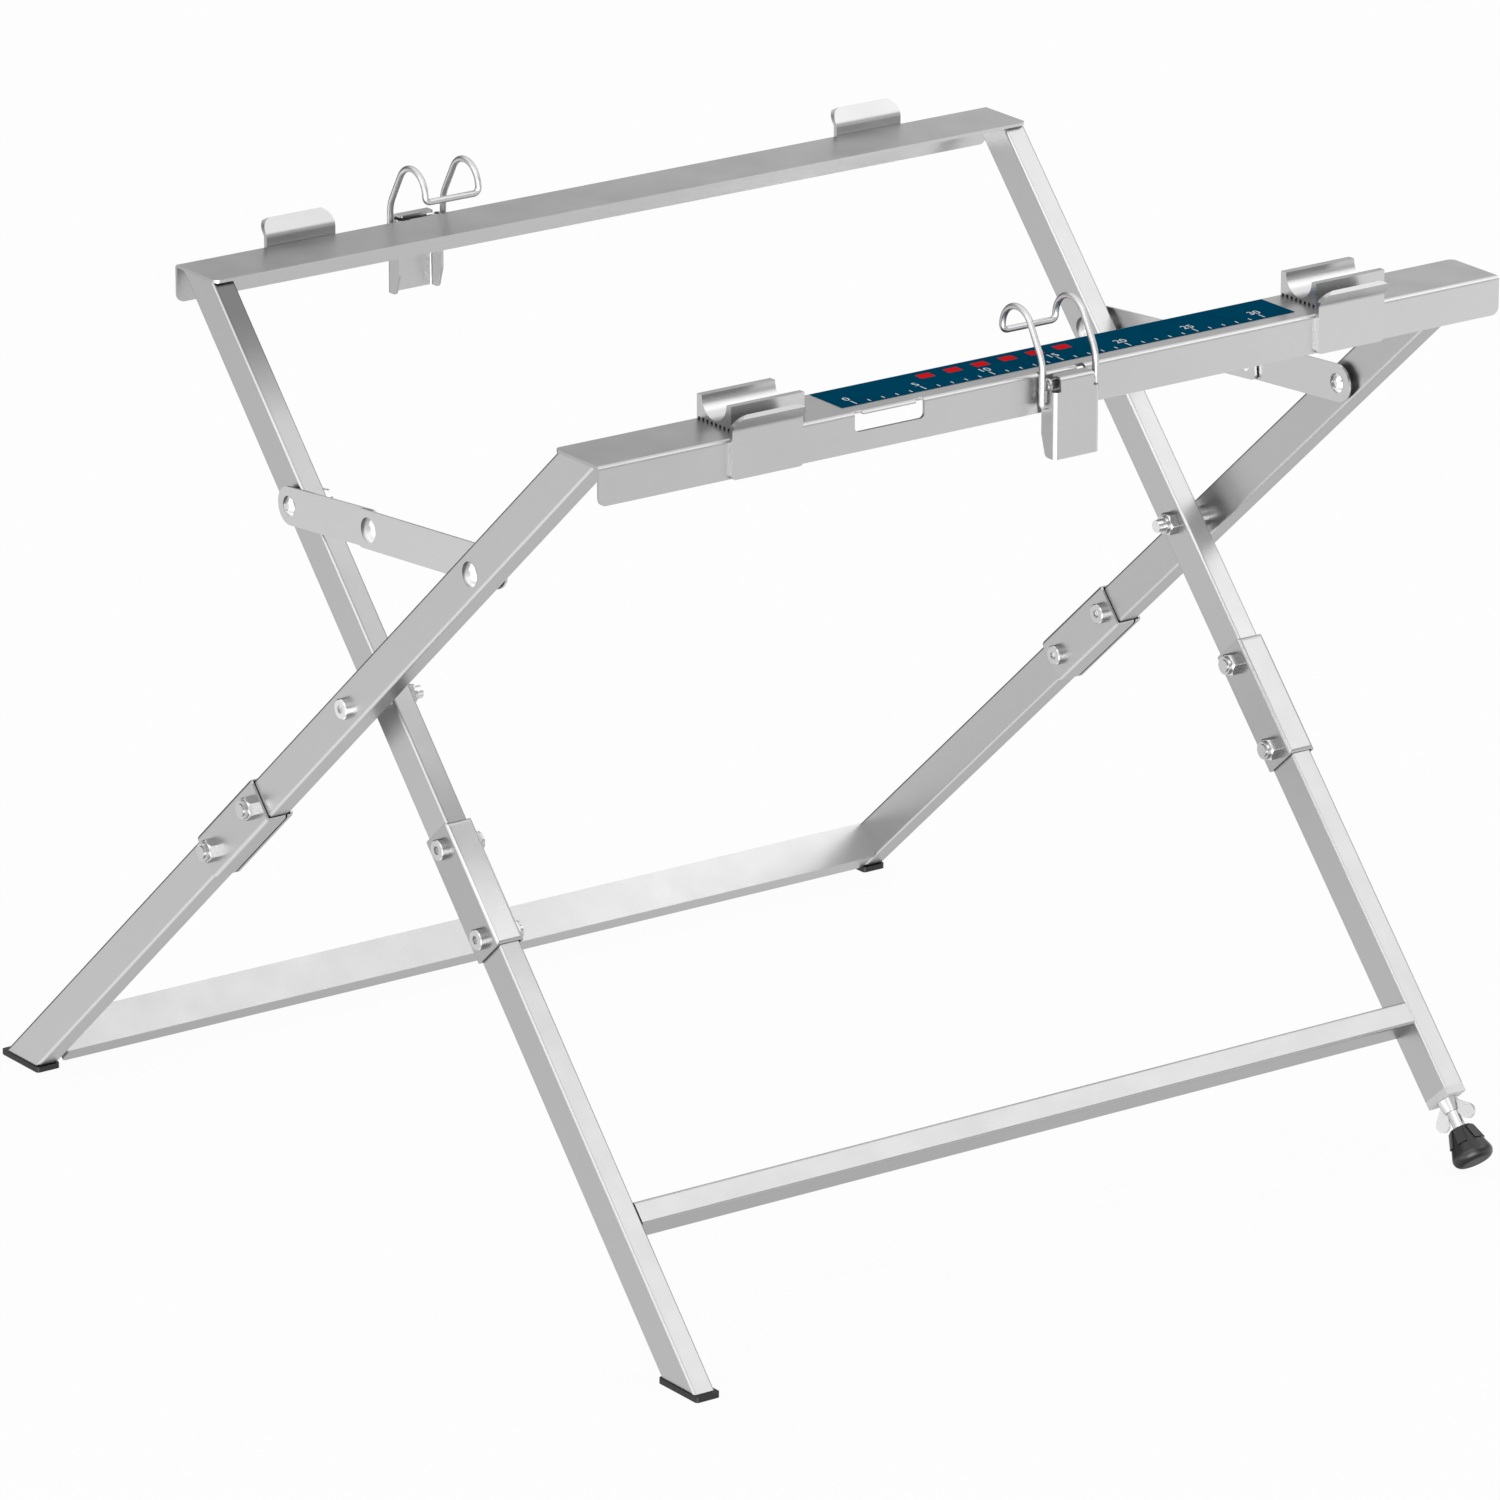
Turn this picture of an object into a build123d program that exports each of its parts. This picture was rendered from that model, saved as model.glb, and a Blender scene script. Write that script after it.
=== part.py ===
"""Folding sawhorse: two scissor frames of steel tube that carry a bench-top saw on two rails.

Frame A is the outer frame: its rail is at the front and its feet are at the back.
Frame B is the inner frame: its rail is at the back and its feet are at the front.
All lengths are in millimetres. +X runs along the rails, +Y to the back, +Z up, and the floor is z = 0.
The shapes are drawn with the main pivot's axis at y = 0, and moved at the end so that the
origin lies on the floor under the middle of the footprint.
"""
from build123d import *
import math
import os

# ---- stance -------------------------------------------------------------------------------
STAND_H = 560.0          # floor to the top of both rails
PIVOT_H = 342.0          # floor to the axis of the main pivots
LEG_A_TILT = 41.8        # slope of frame A's legs above the floor, degrees
LEG_B_TILT = 47.95       # slope of frame B's legs above the floor, degrees
FRAME_A_HALF = 330.0     # middle of the stand to the outer face of frame A's legs
LEG_GAP = 10.0           # clear space between the two frames' legs

# ---- leg tube -----------------------------------------------------------------------------
TUBE_W = 25.0            # tube size across the leg, in the plane in which it swings
TUBE_T = 15.0            # tube size along X
TUBE_WALL = 1.5
TUBE_R = 1.8             # outer corner radius
BUTT_GAP = 1.0           # space between the ends of two tubes inside a sleeve

# ---- sleeves that join the upper and lower leg tubes ----------------------------------------
SLEEVE_LEN = 82.0
SLEEVE_SHEET = 1.5
SLEEVE_PLAY = 0.5        # space between the tube and the sleeve
SLEEVE_BEND = 2.4        # outer radius of the sleeve's bends
SLEEVE_SLIT = 1.3        # open seam along the underside
SLEEVE_SEAM_AT = 0.72    # where the seam lies, as a share of the width from the -X side
SLEEVE_WELD = 5.0        # length over which the sleeve grips its own tube
SLEEVE_CORNER = 3.0      # rounding of the sleeve's ends
SLEEVE_A_AT = 167.0      # main pivot to the middle of frame A's sleeves
SLEEVE_B_AT = 130.0      # main pivot to the middle of frame B's sleeves
SLEEVE_BOLT_PITCH = 60.0

# ---- bolts and nuts (M8) --------------------------------------------------------------------
BOLT_D = 8.0
HEAD_D = 13.0
HEAD_H = 4.2
HEAD_CHAMFER = 0.6
SOCKET_AF = 5.0
SOCKET_DEEP = 2.2
NUT_AF = 13.0
NUT_H = 8.0
COLLAR_D = 11.4          # round collar of a locking nut
COLLAR_H = 2.2
NUT_CHAMFER = 1.1
NUT_CORNER_D = 14.8      # across the nut's chamfered corners
BOLT_END = 0.8           # bolt end that stands out of a nut
HOLE_FIT = 0.1           # radial clearance of a bolt in its hole
RUN_FIT = 0.05           # radial clearance of a turning or sliding pin
FACE_FIT = 0.1           # clearance between faces that turn against each other
PIVOT_STUB = 5.0         # bolt end that stands out of the main pivot's nut
SPACER_D = 13.0          # spacer between the frames at the main pivot

# ---- braces ---------------------------------------------------------------------------------
LEFT_BOLT_AT = 133.5     # main pivot to the left brace's bolt, on frame B
LEFT_RIVET_AT = 178.4    # main pivot to the left brace's rivet, on frame A
RIGHT_BOLT_AT = 183.0    # main pivot to the right brace's bolt, on frame A
RIGHT_RIVET_AT = 139.5   # main pivot to the right brace's rivet, on frame B
BRACE_SHORT = 90.0       # bolt to knuckle
BRACE_RISE = 0.8         # knuckle above the straight line between the two pivots
LINK_W = 24.0
LINK_T = 1.6
LINK_END = 11.5          # the long link's square end, from the knuckle
LINK_CORNER = 4.0        # corners of that end
SHORT_STANDOFF = 3.5     # the bolted leg's face to the short link, filled by the spacer
LINK_GAP = 1.0           # space between the two links, filled by the knuckle's washer
BRACE_HEAD_D = 12.5      # the brace bolt's button head
BRACE_HEAD_H = 2.4
BRACE_SOCKET_DEEP = 1.4
BRACE_SPACER_D = 21.0
KNUCKLE_WASHER_D = 13.0
KNUCKLE_HEAD_H = 2.0     # low enough to pass beside the other leg
RIVET_COLLAR_D = 15.0    # between the long link and the leg it is riveted to
RIVET_TAIL_D = 13.0
RIVET_TAIL_H = 1.8
RIVET_D = 8.0
RIVET_HEAD_D = 15.4
RIVET_HEAD_H = 2.6

# ---- rails ----------------------------------------------------------------------------------
RAIL_W = 45.0
RAIL_SHEET = 2.0
RAIL_FLANGE = 24.0
RAIL_BEND = 2.5          # outer radius of the long bend
RAIL_CORNER = 4.0        # corners of the top plate
FLANGE_CORNER = 5.0
RAIL_A_INSET = 3.0       # front flange to the top of frame A's legs
RAIL_B_INSET = 6.0       # rear flange to the top of frame B's legs
LATCH_WINDOW_W = 34.0    # window behind a latch, in a flange
WINDOW_W = 50.0          # spare window for a latch
WINDOW_H = 12.0
WINDOW_RELIEF = 6.0      # notch at each end of the window's lip
WINDOW_CUT = 3.5         # depth of that notch
WINDOW_CORNER = 3.0
LATCH_PITCH = 125.0      # distance between latch places along a rail

# ---- crossbars ------------------------------------------------------------------------------
CROSS_A_AT = 477.0       # main pivot to the upper face of the rear crossbar
CROSS_A_LIP = 17.0
CROSS_SHEET = 2.0
CROSS_CORNER = 5.0
CROSS_END_GAP = 2.0      # the lip stops this far short of the legs
CROSS_B_AT = 344.0       # main pivot to the upper face of the front crossbar

# ---- cradles and stop plates on the rails ---------------------------------------------------
STOP_AT = 214.0          # middle of the stand to the middle of a stop plate
STOP_W = 50.0
STOP_SHEET = 3.0
STOP_FOLD = 6.5          # height of the fold above the rail
STOP_TOP = 15.5
STOP_FLARE = 7.0
STOP_TOP_R = 8.0
STOP_BOTTOM_R = 2.5
STOP_BEND = 3.0          # inner radius of the fold
CRADLE_L = 52.0
CRADLE_SHIFT = 10.0      # the blocks sit this far to the right of their plates
CRADLE_DEEP = 34.0
CRADLE_H = 15.0
CRADLE_R = 12.3          # half-round channel
CRADLE_BACK = 4.9        # wall behind the channel
NOTCH_COUNT = 8
NOTCH_PITCH = 4.2
NOTCH_W = 2.0
NOTCH_H = 1.6
SCREW_D = 3.0
SCREW_DEEP = 8.0
SCREW_HEAD_D = 5.6
SCREW_HEAD_H = 1.8
SCREW_SPREAD = 32.0

# ---- label ----------------------------------------------------------------------------------
LABEL_L = 333.0
LABEL_W = 32.0
LABEL_T = 0.3
LABEL_AT_X = 16.0        # middle of the label from the middle of the rail
LABEL_EDGE = 1.0         # from the rail's inner edge

# ---- latches --------------------------------------------------------------------------------
LEVER_W = 33.0
LEVER_SHEET = 1.5
LEVER_BEND = 2.5         # outer radius of the lever's bends
LEVER_SHOULDER = 8.5     # rail top to the shoulders beside the tongue
TONGUE_INSET = 4.5       # the tongue is narrower than the lever by this on each side
TONGUE_UP = 0.3          # tongue above the rail's top
TONGUE_BACK = 5.8        # rail face to the tongue's back edge
LEVER_FACE = 15.0        # rail face to the lever's outer face
LEVER_LOW = 49.5         # rail top to the lever's lower end
LEVER_BACK = 2.0         # rail face to the back edges of the lever's sides
LEVER_TAPER_AT = 36.0    # rail top to where the sides start to taper
LEVER_TAPER = 4.0
LATCH_PIVOT_OUT = 6.5    # rail face to the lever's pivot
LATCH_PIVOT_DOWN = 6.0   # rail top to the lever's pivot
BAIL_DROP = 12.3         # lever's pivot to the bail's pivot
PIN_D = 4.0
PIN_HEAD = 0.5
KNUCKLE_D = 7.0
BASE_W = 28.0
BASE_SHEET = 1.5
BASE_REACH = 10.0        # rail face to the base's riser, inwards
BASE_FOOT = 16.0
WIRE_D = 4.0
WIRE_CLEAR = 1.0         # between the lever's sides and the bail's arms
BAIL_KINK = 27.3         # bail's pivot to the kink
BAIL_REACH = 39.0        # arm to the hooked bar, inwards
BAIL_LEAN = 60.0         # slope of the leaning stretch, degrees
BAIL_HOOK_R = 14.5
BAIL_BAR_UP = 37.3       # bail's pivot to the bar
BAIL_KINK_R = 22.0
BAIL_CORNER_R = 3.5
BAIL_END_R = 2.2
BAIL_END_IN = 6.0        # turned-in end of each arm

# ---- feet -----------------------------------------------------------------------------------
CAP_H = 3.6
CAP_SIDE = 1.0
CAP_TOE = 4.0
CAP_HEEL = 1.5
CAP_PLUG = 12.0
CAP_R = 2.0
PLUG_FIT = 0.1
PLUG_T = 5.0
PLUG_LEN = 14.0
WING_H = 8.0
WING_HUB_D = 13.5
WING_HUB_TIP_D = 10.0
WING_REACH = 10.2        # hub's axis to the middle of a lobe
WING_SHEET = 2.2
WING_LOBE_D = 9.6
WING_ROOT_D = 5.6
WING_ROOT = 3.5          # the lobes' roots, out from the axis and below the hub's seat
WING_DROP = 12.3         # the lobes' middles below the hub's seat
WING_TURN = 22.0         # the wings' direction, degrees from the leg's plane
ROD_SHOWN = 11.4         # rod between the wing nut and the rubber foot
ROD_IN = 30.0            # rod inside the leg
ROD_IN_FOOT = 12.0
PAD_L = 23.5
PAD_D = 26.4
PAD_TOP_D = 14.0
PAD_R = 5.0
RIB_COUNT = 6
RIB_W = 6.0
RIB_L = 10.5
RIB_H = 0.8
RIB_TURN = -10.0         # the first rib, degrees from the leg's plane

# ---- derived places -------------------------------------------------------------------------
frame_b_half = FRAME_A_HALF - TUBE_T - LEG_GAP
leg_a_x = FRAME_A_HALF - TUBE_T / 2
leg_b_x = frame_b_half - TUBE_T / 2
tilt_a = math.radians(LEG_A_TILT)
tilt_b = math.radians(LEG_B_TILT)
plate_under = STAND_H - RAIL_SHEET
half_cut_a = TUBE_W / 2 / math.sin(tilt_a)
half_cut_b = TUBE_W / 2 / math.sin(tilt_b)
front_face = -((plate_under - PIVOT_H) / math.tan(tilt_a) + half_cut_a + RAIL_A_INSET + RAIL_SHEET)
rear_face = (plate_under - PIVOT_H) / math.tan(tilt_b) + half_cut_b + RAIL_B_INSET + RAIL_SHEET
toe_a = (PIVOT_H - CAP_H) / math.tan(tilt_a) + half_cut_a + CAP_TOE
toe_b = (PIVOT_H - CAP_H) / math.tan(tilt_b) + half_cut_b + CAP_TOE
origin_shift = (toe_b - toe_a) / 2
bolt_r = BOLT_D / 2
skin = SLEEVE_PLAY + SLEEVE_SHEET

# The leg frames: local X is the stand's X, local Y runs along the leg, local Z across it.
# Down the leg is +Y in frame A and -Y in frame B.
place_a = Location((0, 0, PIVOT_H), (-LEG_A_TILT, 0, 0))
place_b = Location((0, 0, PIVOT_H), (LEG_B_TILT, 0, 0))
FAR = 2000.0             # larger than the stand, for trimming


# ---- drawing helpers ------------------------------------------------------------------------
def along_y(section, y0, y1):
    """A section drawn in X and Z, run along Y from y0 to y1."""
    return Pos(0, y0, 0) * Rot(-90, 0, 0) * extrude(section, y1 - y0)


def along_x(section, x0, x1):
    """A section drawn in Y and Z, run along X from x0 to x1."""
    return Pos(x0, 0, 0) * extrude(Plane.YZ * section, x1 - x0)


def block(x0, x1, y0, y1, z0, z1):
    return Pos((x0 + x1) / 2, (y0 + y1) / 2, (z0 + z1) / 2) * Box(x1 - x0, y1 - y0, z1 - z0)


def rod_x(x0, x1, radius, y=0.0, z=0.0):
    low, high = min(x0, x1), max(x0, x1)
    return Pos((low + high) / 2, y, z) * Rot(0, 90, 0) * Cylinder(radius, high - low)


def tube_section(grow=0.0, radius=TUBE_R):
    return RectangleRounded(TUBE_T + 2 * grow, TUBE_W + 2 * grow, radius)


def hollow_section():
    inner = RectangleRounded(TUBE_T - 2 * TUBE_WALL, TUBE_W - 2 * TUBE_WALL, TUBE_R - TUBE_WALL / 2)
    return tube_section() - inner


def dome(diameter, height):
    """A low round head that stands on x = 0 and points to -X."""
    ball = (diameter * diameter / 4 + height * height) / (2 * height)
    return (Pos(ball - height, 0, 0) * Sphere(ball)) & block(-height, 0, -FAR, FAR, -FAR, FAR)


def cap_bolt(length):
    """A socket-head bolt: the head lies on the -X side of x = 0, and the shank runs to +X."""
    head = rod_x(-HEAD_H, 0, HEAD_D / 2)
    head = chamfer(head.edges().filter_by(GeomType.CIRCLE).group_by(Axis.X)[0], HEAD_CHAMFER)
    socket = along_x(RegularPolygon(SOCKET_AF / 2, 6, major_radius=False), -HEAD_H, SOCKET_DEEP - HEAD_H)
    return head + rod_x(0, length, bolt_r) - socket


def button_bolt(length):
    """A bolt with a low domed head, drawn as the other bolts are."""
    socket = along_x(RegularPolygon(SOCKET_AF / 2, 6, major_radius=False),
                     -BRACE_HEAD_H, BRACE_SOCKET_DEEP - BRACE_HEAD_H)
    return dome(BRACE_HEAD_D, BRACE_HEAD_H) + rod_x(0, length, bolt_r) - socket


def lock_nut():
    """A hexagon nut with a round collar: it seats on x = 0 and runs to +X."""
    body = along_x(RegularPolygon(NUT_AF / 2, 6, major_radius=False), 0, NUT_H - COLLAR_H)
    turned = rod_x(0, NUT_H - COLLAR_H, NUT_CORNER_D / 2)
    body &= chamfer(turned.edges().filter_by(GeomType.CIRCLE).group_by(Axis.X)[-1], NUT_CHAMFER)
    collar = rod_x(NUT_H - COLLAR_H, NUT_H, COLLAR_D / 2)
    return body + collar - rod_x(-1, NUT_H + 1, bolt_r + RUN_FIT)


def facing(shape, to_minus_x):
    """Turn a fastener drawn towards +X so that it runs to -X."""
    return Rot(0, 0, 180) * shape if to_minus_x else shape


# ---- legs -----------------------------------------------------------------------------------
def leg_hole(x_mid, y, radius):
    reach = TUBE_T / 2 + skin + 1
    return rod_x(x_mid - reach, x_mid + reach, radius, y)


def upper_leg(place, down, x_mid, sleeve_at, brace_at):
    """The tube from the rail's plate to the middle of the sleeve."""
    top = -down * (STAND_H + TUBE_W)
    end = down * (sleeve_at - BUTT_GAP / 2)
    tube = along_y(hollow_section(), min(top, end), max(top, end))
    tube = Pos(x_mid, 0, 0) * tube
    holes = leg_hole(x_mid, 0, bolt_r + RUN_FIT)
    holes += leg_hole(x_mid, down * (sleeve_at - SLEEVE_BOLT_PITCH / 2), bolt_r + HOLE_FIT)
    holes += leg_hole(x_mid, -down * brace_at, RIVET_D / 2 + RUN_FIT)
    tube = place * (tube - holes)
    return tube - block(-FAR, FAR, -FAR, FAR, plate_under, FAR)


def lower_leg(place, down, x_mid, sleeve_at, end):
    """The tube from the middle of the sleeve to the foot: cut along the floor, or square at end."""
    start = down * (sleeve_at + BUTT_GAP / 2)
    stop = down * (end if end else STAND_H + TUBE_W)
    tube = Pos(x_mid, 0, 0) * along_y(hollow_section(), min(start, stop), max(start, stop))
    tube -= leg_hole(x_mid, down * (sleeve_at + SLEEVE_BOLT_PITCH / 2), bolt_r + HOLE_FIT)
    tube = place * tube
    return tube if end else tube - block(-FAR, FAR, -FAR, FAR, -FAR, CAP_H)


def sleeve(place, x_mid, middle, weld_side):
    """A folded sheet round both tubes; weld_side is +1 or -1, the local Y end that grips its tube."""
    y0, y1 = middle - SLEEVE_LEN / 2, middle + SLEEVE_LEN / 2
    shape = along_y(tube_section(skin, SLEEVE_BEND), y0, y1)
    outline = RectangleRounded(SLEEVE_LEN, TUBE_W + 2 * skin, SLEEVE_CORNER)
    shape &= Pos(0, middle, 0) * along_x(outline, -TUBE_T, TUBE_T)
    grip = y1 - SLEEVE_WELD if weld_side > 0 else y0 + SLEEVE_WELD
    free = (y0 - 1, grip) if weld_side > 0 else (grip, y1 + 1)
    shape -= along_y(tube_section(SLEEVE_PLAY, SLEEVE_BEND - SLEEVE_SHEET), *free)
    shape -= along_y(tube_section(), y0 - 1, y1 + 1)
    seam = (SLEEVE_SEAM_AT - 0.5) * (TUBE_T + 2 * skin)
    seam_ends = (y0 - 1, y1 + 1)
    shape -= block(seam, seam + SLEEVE_SLIT, *seam_ends, -TUBE_W, 0)
    for side in (-1, 1):
        shape -= rod_x(-TUBE_T, TUBE_T, bolt_r + HOLE_FIT, middle + side * SLEEVE_BOLT_PITCH / 2)
    return place * Pos(x_mid, 0, 0) * shape


def sleeve_fasteners(place, x_mid, middle, head_to_minus_x):
    """The two bolts and the two nuts of one sleeve."""
    reach = TUBE_T / 2 + skin
    bolts, nuts = [], []
    for side in (-1, 1):
        at = Pos(x_mid, middle + side * SLEEVE_BOLT_PITCH / 2, 0)
        bolt = Pos(-reach, 0, 0) * cap_bolt(2 * reach + NUT_H + BOLT_END)
        nut = Pos(reach, 0, 0) * lock_nut()
        bolts.append(place * at * facing(bolt, not head_to_minus_x))
        nuts.append(place * at * facing(nut, not head_to_minus_x))
    return bolts, nuts


# ---- crossbars ------------------------------------------------------------------------------
def rear_crossbar():
    """An angle between frame A's legs: a face across the legs and a lip along their underside."""
    half = FRAME_A_HALF - TUBE_T
    low = -TUBE_W / 2
    face = block(-half, half, CROSS_A_AT, CROSS_A_AT + CROSS_SHEET, low, TUBE_W / 2)
    end = half - CROSS_END_GAP
    lip = block(-end, end, CROSS_A_AT, CROSS_A_AT + CROSS_A_LIP, low, low + CROSS_SHEET)
    corners = lip.edges().filter_by(Axis.Z).group_by(Axis.Y)[-1]
    return place_a * (face + fillet(corners, CROSS_CORNER))


def front_crossbar():
    """A tube between frame B's legs, its narrow face flush with the legs' front."""
    half = frame_b_half - TUBE_T
    outer = RectangleRounded(TUBE_T, TUBE_W, TUBE_R)
    inner = RectangleRounded(TUBE_T - 2 * TUBE_WALL, TUBE_W - 2 * TUBE_WALL, TUBE_R - TUBE_WALL / 2)
    return place_b * Pos(0, -CROSS_B_AT - TUBE_T / 2, 0) * along_x(outer - inner, -half, half)


# ---- rails ----------------------------------------------------------------------------------
# Pieces on a rail are drawn with +Y outwards from the flange's face and z = 0 at the rail's top.
place_front = Location((0, front_face, STAND_H), (0, 0, 180))
place_rear = Location((0, rear_face, STAND_H), (0, 0, 0))


def rail(place, half, windows):
    """A folded angle; windows lists the middle and the width of each latch window."""
    plate = block(-half, half, -RAIL_W, 0, -RAIL_SHEET, 0)
    plate = fillet(plate.edges().filter_by(Axis.Z).group_by(Axis.Y)[0], RAIL_CORNER)
    flange = block(-half, half, -RAIL_SHEET, 0, -RAIL_FLANGE, 0)
    flange = fillet(flange.edges().filter_by(Axis.Y).group_by(Axis.Z)[0], FLANGE_CORNER)
    shape = plate + flange
    bend = shape.edges().filter_by(Axis.X).group_by(Axis.Z)[-1].sort_by(Axis.Y)[-1]
    shape = fillet(bend, RAIL_BEND)
    for x, width in windows:
        reach = RAIL_BEND + RAIL_SHEET
        window = block(x - width / 2, x + width / 2, -reach, 1, -WINDOW_H, -RAIL_SHEET)
        shape -= fillet(window.edges().filter_by(Axis.Y).group_by(Axis.Z)[0], WINDOW_CORNER)
        for side in (-1, 1):
            notch = x + side * (width - WINDOW_RELIEF) / 2
            shape -= block(notch - WINDOW_RELIEF / 2, notch + WINDOW_RELIEF / 2, -WINDOW_CUT, 1, -RAIL_SHEET, 1)
    return place * shape


def stop_plate(x):
    """A sheet plate on the flange's face, with its top folded outwards."""
    lean = math.atan2(STOP_FLARE, STOP_TOP - STOP_FOLD)
    step = STOP_SHEET * math.tan(lean / 2)
    outline = Polyline(
        (0, -RAIL_FLANGE),
        (STOP_SHEET, -RAIL_FLANGE),
        (STOP_SHEET, STOP_FOLD - step),
        (STOP_FLARE + STOP_SHEET * math.cos(lean), STOP_TOP - STOP_SHEET * math.sin(lean)),
        (STOP_FLARE, STOP_TOP),
        (0, STOP_FOLD),
        close=True,
    )
    section = make_face(outline)
    hollow = section.vertices().sort_by_distance((STOP_SHEET, STOP_FOLD - step))[0]
    section = fillet(hollow, STOP_BEND)
    ridge = section.vertices().sort_by_distance((0, STOP_FOLD))[0]
    section = fillet(ridge, STOP_BEND + STOP_SHEET)
    shape = along_x(section, x - STOP_W / 2, x + STOP_W / 2)
    height = STOP_TOP + RAIL_FLANGE
    front = Pos(x, (STOP_TOP - RAIL_FLANGE) / 2) * Rectangle(STOP_W, height)
    front = fillet(front.vertices().group_by(Axis.Y)[-1], STOP_TOP_R)
    front = fillet(front.vertices().group_by(Axis.Y)[0], STOP_BOTTOM_R)
    return shape & (Pos(0, STOP_W, 0) * extrude(Plane.XZ * front, 2 * STOP_W))


def screw_places(x):
    """Where the screws of one cradle block stand: in its back wall and in its front wall."""
    back = CRADLE_BACK / 2 - RAIL_W
    front = CRADLE_DEEP - RAIL_W - (CRADLE_DEEP - CRADLE_BACK - 2 * CRADLE_R) / 2
    return [(x + side * SCREW_SPREAD / 2, y) for side in (-1, 1) for y in (back, front)]


def cradle_block(x):
    """An extruded block with a half-round channel along the rail and a grooved base."""
    y0 = -RAIL_W
    shape = block(x - CRADLE_L / 2, x + CRADLE_L / 2, y0, y0 + CRADLE_DEEP, 0, CRADLE_H)
    channel_y = y0 + CRADLE_BACK + CRADLE_R
    shape -= rod_x(x - CRADLE_L, x + CRADLE_L, CRADLE_R, channel_y, CRADLE_H)
    first = y0 + (CRADLE_DEEP - (NOTCH_COUNT - 1) * NOTCH_PITCH) / 2
    for index in range(NOTCH_COUNT):
        y = first + index * NOTCH_PITCH
        shape -= block(x - CRADLE_L, x + CRADLE_L, y - NOTCH_W / 2, y + NOTCH_W / 2, -1, NOTCH_H)
    for sx, sy in screw_places(x):
        shape -= Pos(sx, sy, 0) * Cylinder(SCREW_D / 2 + RUN_FIT, 2 * (SCREW_DEEP - RAIL_SHEET))
    return shape


def cradle_screws(x):
    """Countersunk screws from under the plate into the block."""
    screws = []
    for sx, sy in screw_places(x):
        shank = Pos(sx, sy, SCREW_DEEP / 2 - RAIL_SHEET) * Cylinder(SCREW_D / 2, SCREW_DEEP)
        head = Pos(sx, sy, -RAIL_SHEET - SCREW_HEAD_H / 2) * Cylinder(SCREW_HEAD_D / 2, SCREW_HEAD_H)
        screws.append(shank + head)
    return screws


# ---- latches --------------------------------------------------------------------------------
def latch_base(x):
    """A folded strip under the rail's plate, with a rolled knuckle in front of the window."""
    out, down = LATCH_PIVOT_OUT, -LATCH_PIVOT_DOWN
    low = down - KNUCKLE_D / 2
    half = BASE_W / 2
    strip = block(-half, half, -BASE_REACH, out, low, low + BASE_SHEET)
    riser = block(-half, half, -BASE_REACH - BASE_SHEET, -BASE_REACH, low, -RAIL_SHEET)
    foot_end = -BASE_REACH - BASE_FOOT
    foot = block(-half, half, foot_end, -BASE_REACH, -RAIL_SHEET - BASE_SHEET, -RAIL_SHEET)
    knuckle = rod_x(-half, half, KNUCKLE_D / 2, out, down)
    bore = rod_x(-BASE_W, BASE_W, PIN_D / 2 + RUN_FIT, out, down)
    return Pos(x, 0, 0) * (strip + riser + foot + knuckle - bore)


def latch_lever(x):
    """A channel of sheet: a face, two tapered sides with ears, and a tongue bent back at the top."""
    half = LEVER_W / 2
    inner = LEVER_FACE - LEVER_SHEET
    channel = block(-half, half, 0, LEVER_FACE, -LEVER_LOW, 0)
    channel = fillet(channel.edges().filter_by(Axis.Z).group_by(Axis.Y)[-1], LEVER_BEND)
    room = block(LEVER_SHEET - half, half - LEVER_SHEET, -1, inner, -LEVER_LOW - 1, 1)
    room = fillet(room.edges().filter_by(Axis.Z).group_by(Axis.Y)[-1], LEVER_BEND - LEVER_SHEET)
    channel -= room

    ear = LATCH_PIVOT_OUT - LEVER_BACK
    ear_top = ear - LATCH_PIVOT_DOWN
    side = Polyline(
        (LEVER_FACE + 1, -LEVER_LOW),
        (LEVER_BACK + LEVER_TAPER, -LEVER_LOW),
        (LEVER_BACK, -LEVER_TAPER_AT),
        (LEVER_BACK, ear_top),
        (LATCH_PIVOT_OUT + ear, ear_top),
        (LATCH_PIVOT_OUT + ear, -LEVER_SHOULDER),
        (LEVER_FACE + 1, -LEVER_SHOULDER),
        close=True,
    )
    side = make_face(side)
    tops = side.vertices().group_by(Axis.Y)[-1]
    side = fillet(tops, ear - 0.01)
    toe = side.vertices().group_by(Axis.Y)[0].sort_by(Axis.X)[0]
    side = fillet(toe, 2 * LEVER_SHEET)
    shape = channel & along_x(side, -half - 1, half + 1)

    wide = half - TONGUE_INSET
    tongue = block(-wide, wide, TONGUE_BACK, LEVER_FACE, -LEVER_SHOULDER - LEVER_BEND, TONGUE_UP)
    tongue = fillet(tongue.edges().filter_by(Axis.X).group_by(Axis.Z)[-1].sort_by(Axis.Y)[-1], LEVER_BEND)
    under = block(-half, half, 0, inner, -LEVER_LOW, TONGUE_UP - LEVER_SHEET)
    under = fillet(under.edges().filter_by(Axis.X).group_by(Axis.Z)[-1].sort_by(Axis.Y)[-1],
                   LEVER_BEND - LEVER_SHEET)
    tongue -= under
    tongue = fillet(tongue.edges().filter_by(Axis.Z).group_by(Axis.Y)[0], LEVER_SHEET)
    shape += tongue

    hole = PIN_D / 2 + HOLE_FIT
    pivot = rod_x(-LEVER_W, LEVER_W, hole, LATCH_PIVOT_OUT, -LATCH_PIVOT_DOWN)
    wire = rod_x(-LEVER_W, LEVER_W, WIRE_D / 2 + RUN_FIT, LATCH_PIVOT_OUT, -LATCH_PIVOT_DOWN - BAIL_DROP)
    return Pos(x, 0, 0) * (shape - pivot - wire)


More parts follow.
